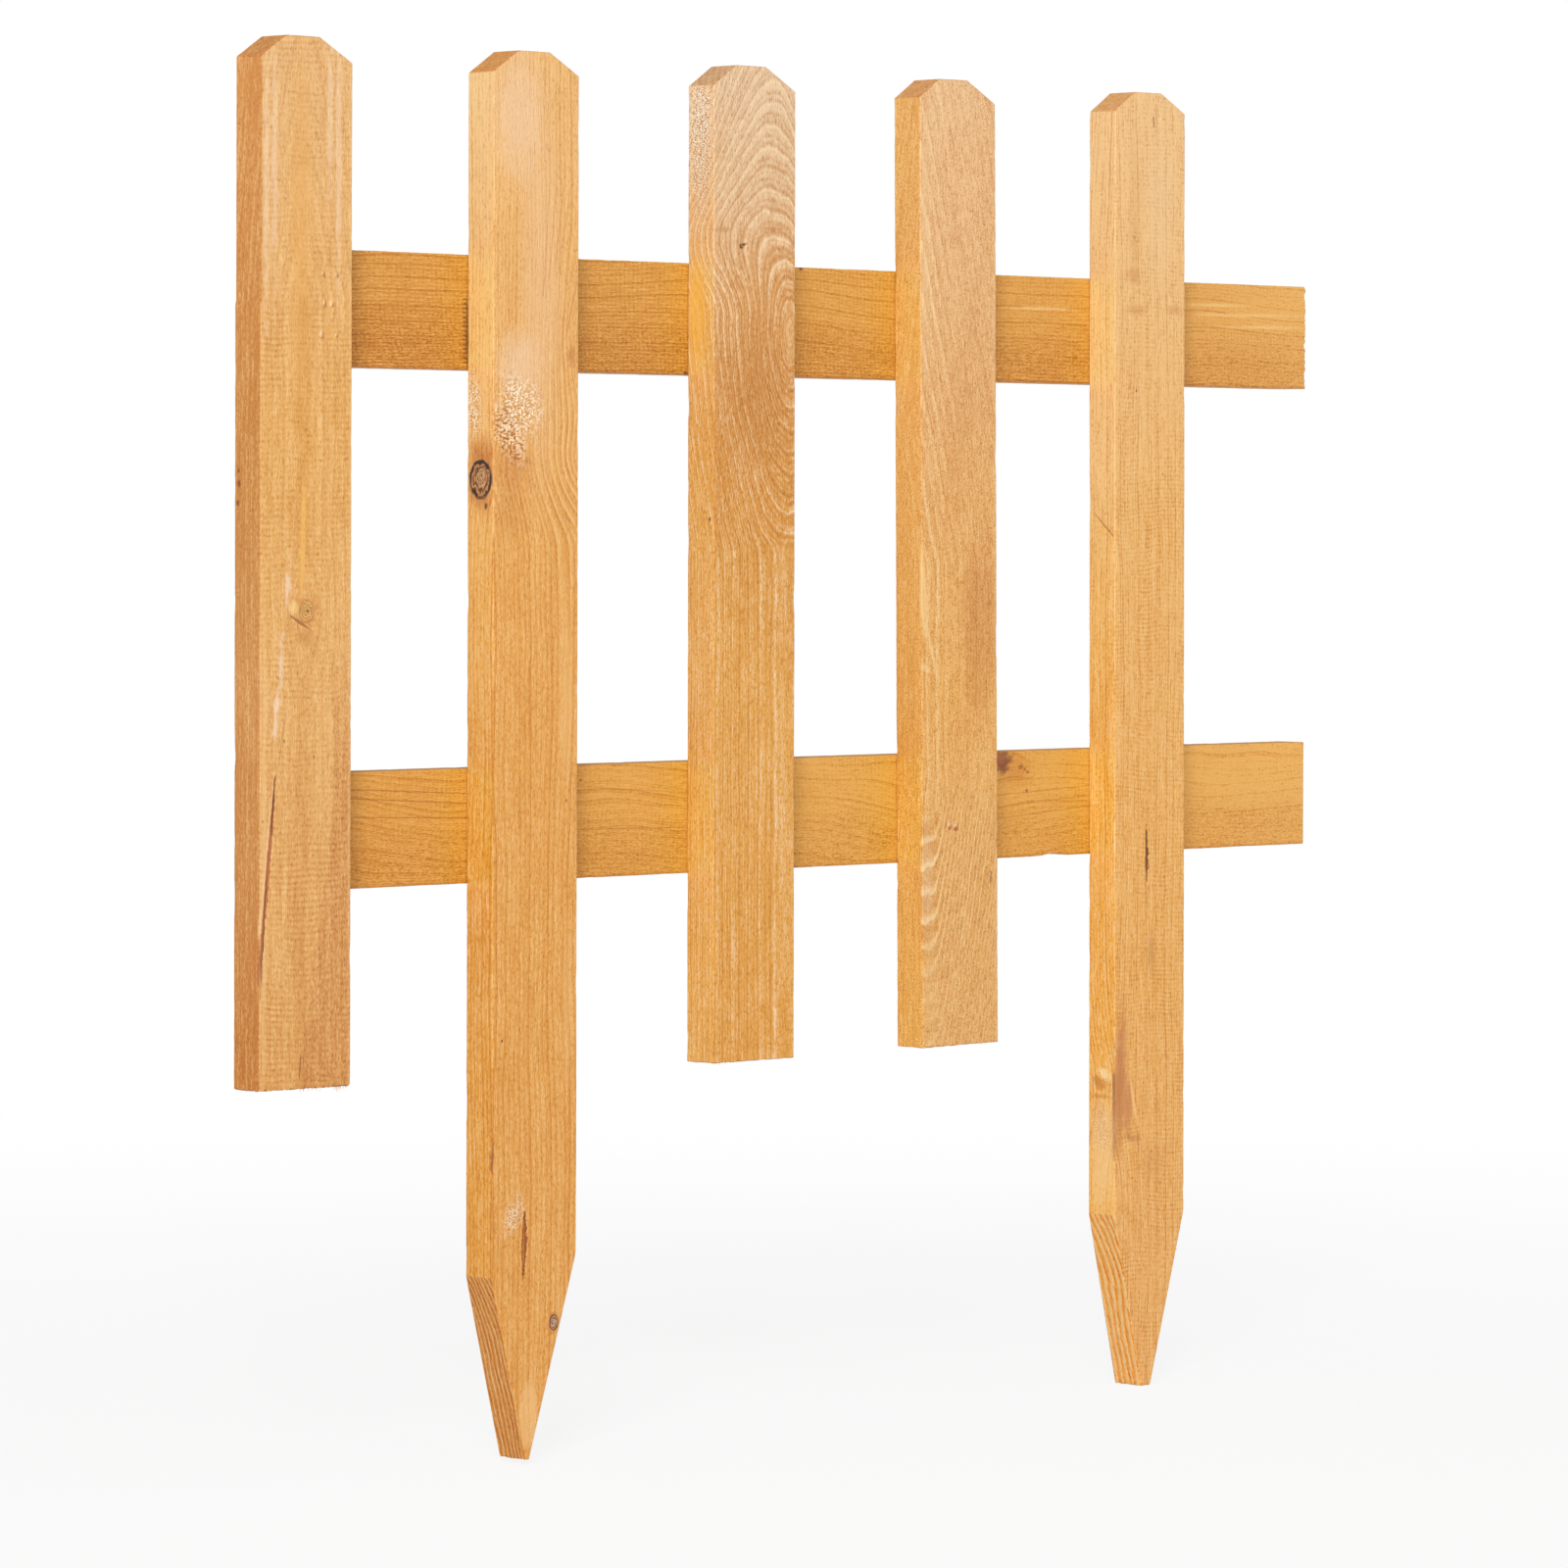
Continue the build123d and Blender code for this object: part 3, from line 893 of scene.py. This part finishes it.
def stock(board):
    """A plain batten on its own axes: x across, y through and z along."""
    mesh = bmesh.new()
    left, right = board.spare
    wide = WIDTH + left + right
    middle = Vector(((right - left) / 2, 0, (board.low + board.high) / 2))
    size = Matrix.Diagonal((wide, THICK, board.high - board.low, 1))
    bmesh.ops.create_cube(mesh, size=1, matrix=Matrix.Translation(middle) @ size)
    return mesh


def break_arrises(mesh):
    sharp = [edge for edge in mesh.edges if edge.calc_face_angle(0) > math.radians(BREAK_ANGLE)]
    bmesh.ops.bevel(mesh, geom=sharp, offset=ARRIS, offset_type="OFFSET", segments=2, profile=0.5,
                    affect="EDGES", material=-1)


def refine(mesh, inside, cuts=2):
    """Divides the faces whose middles lie in a box, so that they can be carved."""
    low, high = inside
    faces = [face for face in mesh.faces
             if all(low[step] <= face.calc_center_median()[step] <= high[step] for step in range(3))]
    edges = list({edge for face in faces for edge in face.edges})
    bmesh.ops.subdivide_edges(mesh, edges=edges, cuts=cuts, use_grid_fill=True)


def swell(distance):
    """1 at the middle of a mark and 0 from its rim on."""
    return 0 if distance >= 1 else (1 - distance * distance) ** 2


def carve(mesh, board):
    """Pits, splits, bumps and steps that the light catches, on the front or left face."""
    left, right = board.spare
    for vert in mesh.verts:
        across, through, along = vert.co
        on_front = through < -FACE + SKIN
        on_left = across < -HALF - left + SKIN
        for kind, face, centre, reach, depth in board.hollows:
            if (face == "front" and not on_front) or (face == "left" and not on_left):
                continue
            level = through if face == "left" else across
            if kind == "step":
                share = min(1, max(0, (along - centre) / reach))
                vert.co.x = max(vert.co.x, -HALF - left + depth * share)
                continue
            if kind == "split":
                share = (along - centre[1]) / (reach[1] - centre[1])
                if not 0 < share < 1:
                    continue
                middle = centre[0] + share * (reach[0] - centre[0])
                half = reach[2] * (4 * share * (1 - share)) ** 0.5
                push = depth * swell(abs(level - middle) / max(half, 0.05))
            else:
                away = (level - centre[0]) / reach[0]
                past = (along - centre[1]) / reach[1]
                push = depth * swell(math.hypot(away, past))
                if kind == "wrinkle":
                    place = Vector((level / 0.8, along / 0.8, board.seed))
                    push *= noise.noise(place) + 0.35
            if face == "left":
                vert.co.x += push
            elif face == "below":
                if level < centre[0] + 1.5:
                    vert.co.x += push
            elif face == "back":
                if through > FACE - SKIN:
                    vert.co.y -= push
            else:
                vert.co.y += push
        vert.co.y = min(FACE, max(-FACE, vert.co.y))


def roughen(mesh, board):
    """Sawn faces that wander inwards a little, chipped arrises and torn cuts."""
    left, right = board.spare
    for vert in mesh.verts:
        across, through, along = vert.co
        slow = Vector((across * 0.03, through * 0.03, along * 0.02 + board.seed))
        quick = Vector((across * 0.9, through * 0.9, along * 0.5 + board.seed))
        drop = WANDER * (1 + noise.noise(slow)) + GRIT * (1 + noise.noise(quick))
        chip = max(0, noise.noise(Vector((across * 0.2, through * 0.2, along * 0.15 - board.seed))) - 0.15)
        edge = min(across + HALF + left, HALF + right - across)
        corner = edge + FACE - abs(through)
        chip *= CHIP * max(0, 1 - corner / 1.5)
        if edge < EDGE_SKIN:
            vert.co.x -= math.copysign(drop + chip, across)
        if FACE - abs(through) < EDGE_SKIN:
            vert.co.y -= math.copysign(drop + chip, through)
        torn = noise.noise(Vector((across * 0.7, through * 0.7, board.seed)))
        if board.lying and board.high - along < TORN_END:
            share = 1 - (board.high - along) / TORN_END
            vert.co.z -= board.torn * share * max(0, 0.3 + torn)
        elif not board.lying and along - board.low < TORN_FOOT:
            vert.co.z += board.torn * max(0, torn + 0.3)


def splinter(mesh, root, tip, width):
    """A torn fibre, from inside the wood to its tip."""
    root, tip = Vector(root), Vector(tip)
    run = tip - root
    turn = run.to_track_quat("Z", "Y").to_matrix().to_4x4()
    bmesh.ops.create_cone(mesh, cap_ends=True, segments=5, radius1=width / 2, radius2=width * 0.12,
                          depth=run.length, matrix=Matrix.Translation((root + tip) / 2) @ turn)


def fray(mesh, board, chooser):
    """Torn fibres along the lines where a saw left the wood."""
    for start, end, run, count, width in board.fibres:
        start, end, run = Vector(start), Vector(end), Vector(run)
        for number in range(count):
            root = start.lerp(end, chooser.random())
            root += Vector([chooser.uniform(-0.25, 0.25) for step in range(3)])
            sway = Vector([chooser.uniform(-0.12, 0.12) * run.length for step in range(3)])
            tip = root + (run + sway) * chooser.uniform(0.4, 1)
            tip.y = max(tip.y, -FACE)
            if board.lying:
                tip.z = min(tip.z, board.high - width / 4)
            splinter(mesh, root, tip, width * chooser.uniform(0.5, 1))


def mark_faces(mesh, board):
    """Says which faces are cut across the grain and which is the left side."""
    cut = mesh.faces.layers.float.new("cut")
    side = mesh.faces.layers.float.new("side")
    point = mesh.faces.layers.float.new("point")
    mesh.normal_update()
    for face in mesh.faces:
        face[cut] = min(1, max(0, (abs(face.normal.z) - 0.12) / 0.6))
        face[point] = 1 if -0.6 < face.normal.z < -0.12 else 0
        face[side] = 1 if face.normal.x < -0.7 and not board.lying else 0


def lay(mesh, board):
    """Takes a board from its own axes to its place in the frame."""
    if board.lying:
        turn = Matrix(((0, 0, 1, 0), (0, 1, 0, 0), (1, 0, 0, 0), (0, 0, 0, 1)))
        place = Matrix.Translation(board.centre) @ turn
    else:
        pivot = Matrix.Translation((0, 0, LEAN_PIVOT))
        turn = pivot @ Matrix.Rotation(-math.radians(board.lean), 4, "Y") @ pivot.inverted()
        place = Matrix.Translation(board.centre) @ turn
    bmesh.ops.transform(mesh, matrix=Matrix.Scale(MM, 4) @ place, verts=mesh.verts)
    if place.determinant() < 0:
        bmesh.ops.reverse_faces(mesh, faces=mesh.faces[:])


def stand(name, data):
    """Puts a mesh, lamp or camera in the scene as an object of its own."""
    made = bpy.data.objects.new(name, data)
    bpy.context.scene.collection.objects.link(made)
    return made


def mesh_object(name, mesh, material):
    data = bpy.data.meshes.new(name)
    mesh.to_mesh(data)
    mesh.free()
    data.materials.append(material)
    return stand(name, data)


def finish_piece(mesh, board):
    piece = mesh_object(board.name + "_sawn", mesh, Wood(board).material)
    piece.data.set_sharp_from_angle(angle=math.radians(SHARP_ANGLE))
    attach(piece, "root")
    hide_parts(board.name)


def shape_board(mesh, board):
    """From the sawn blank to the finished piece."""
    break_arrises(mesh)
    left, right = board.spare
    score_between(mesh, -HALF - left, HALF + right, GRID, 0)
    score_between(mesh, -FACE, FACE, GRID, 1)
    score_between(mesh, board.low, board.high, GRID, 2)
    for low, high, cuts in board.close_work:
        refine(mesh, (low, high), cuts)
    mark_faces(mesh, board)
    roughen(mesh, board)
    carve(mesh, board)
    fray(mesh, board, random.Random(board.name))
    for face in mesh.faces:
        face.smooth = True
    lay(mesh, board)
    finish_piece(mesh, board)


def make_picket(board):
    mesh = stock(board)
    shoulder = board.high - HEAD_RISE
    saw_off(mesh, (-HALF, 0, shoulder), Vector((-HEAD_RISE, 0, LEFT_CUT_RUN)).normalized())
    saw_off(mesh, (HALF, 0, shoulder), Vector((HEAD_RISE, 0, RIGHT_CUT_RUN)).normalized())
    if board.name in STAKE_POINTS:
        point = STAKE_POINTS[board.name]
        tip_left = point["tip"] - point["tip_width"] / 2
        tip_right = point["tip"] + point["tip_width"] / 2
        left = Vector((-point["left_rise"], 0, -(tip_left + HALF)))
        right = Vector((point["right_rise"], 0, -(HALF - tip_right)))
        saw_off(mesh, (-HALF, 0, board.low + point["left_rise"]), left.normalized())
        saw_off(mesh, (HALF, 0, board.low + point["right_rise"]), right.normalized())
    shape_board(mesh, board)


for board in PICKETS:
    make_picket(board)
for board in RAILS:
    shape_board(stock(board), board)


# Staples keep their own shape and get a zinc-coated wire finish

def zinc_wire():
    material = bpy.data.materials.new("zinc_wire")
    recipe = Recipe(material)
    place = recipe.node("ShaderNodeTexCoord").outputs["Object"]
    x, y, z = [value / MM for value in recipe.split(place)]
    cloud = recipe.noise(x / 1.5, y / 1.5, z / 1.5, 3)
    drawn = recipe.noise(x / 4, y / 4, z / 0.12, 2)
    colour = recipe.mix(cloud.rise(-0.5, 0.6), tone(150, 150, 146), tone(186, 186, 182))
    shader = recipe.node("ShaderNodeBsdfPrincipled")
    dull = (drawn * 0.12 + 0.38).at_least(0.2)
    recipe.fill(shader, Base_Color=colour, Metallic=1, Roughness=dull)
    recipe.show(shader.outputs["BSDF"])
    return material


wire = zinc_wire()
for name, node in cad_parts.items():
    if name.startswith("staple_"):
        node.data.materials.clear()
        node.data.materials.append(wire)


# Floor, lamps, backdrop and camera

def pale_floor():
    """Paper that keeps the shadow and otherwise shows as the white backdrop."""
    material = bpy.data.materials.new("pale_floor")
    recipe = Recipe(material)
    x, y, z = recipe.split(recipe.node("ShaderNodeTexCoord").outputs["Object"])
    white = recipe.hypot(x, y).rise(0.3, 1.6) * 0.14 + 0.86
    seen = recipe.either_ray("Is Camera Ray", "Is Glossy Ray")
    paper = recipe.plain("ShaderNodeBsdfDiffuse", PAPER)
    glow = recipe.plain("ShaderNodeEmission", WHITE)
    recipe.show(recipe.join(seen * white, paper, glow))
    return material


def make_floor():
    mesh = bmesh.new()
    level = Matrix.Translation((0, 0, cad_box[0].z - FLOOR_GAP))
    bmesh.ops.create_grid(mesh, x_segments=1, y_segments=1, size=FLOOR_SIZE, matrix=level)
    mesh_object("floor", mesh, pale_floor())


def make_lamp(name, place, aim, size, power):
    lamp = bpy.data.lights.new(name, "AREA")
    lamp.shape = "DISK"
    lamp.size = size
    lamp.energy = power
    holder = stand(name, lamp)
    holder.location = place
    holder.rotation_euler = (Vector(aim) - Vector(place)).to_track_quat("-Z", "Y").to_euler()


def make_world():
    world = bpy.data.worlds.new("studio")
    bpy.context.scene.world = world
    recipe = Recipe(world)
    seen = recipe.either_ray("Is Camera Ray", "Is Transmission Ray")
    soft = recipe.plain("ShaderNodeBackground", WHITE, Strength=SKY_STRENGTH)
    white = recipe.plain("ShaderNodeBackground", WHITE, Strength=1)
    recipe.show(recipe.join(seen, soft, white), "ShaderNodeOutputWorld")


def make_camera():
    lens = bpy.data.cameras.new("camera")
    lens.lens = CAMERA_LENS
    lens.sensor_width = 36
    lens.clip_end = 100
    camera = stand("camera", lens)
    turn = Matrix.Rotation(math.radians(-CAMERA_YAW), 4, "Z")
    turn = turn @ Matrix.Rotation(math.radians(90 + CAMERA_PITCH), 4, "X")
    turn = turn @ Matrix.Rotation(math.radians(-CAMERA_ROLL), 4, "Z")
    camera.matrix_world = Matrix.Translation(CAMERA_PLACE) @ turn
    bpy.context.scene.camera = camera


make_floor()
make_world()
make_lamp("key", (-4.1, -3.4, 2.75), (0.05, 0, 0.15), 2, KEY_POWER)
make_lamp("fill", (-0.3, -3, 0.9), (0, 0, 0.15), 1.6, FILL_POWER)
make_camera()
bpy.context.scene.view_settings.view_transform = "Standard"
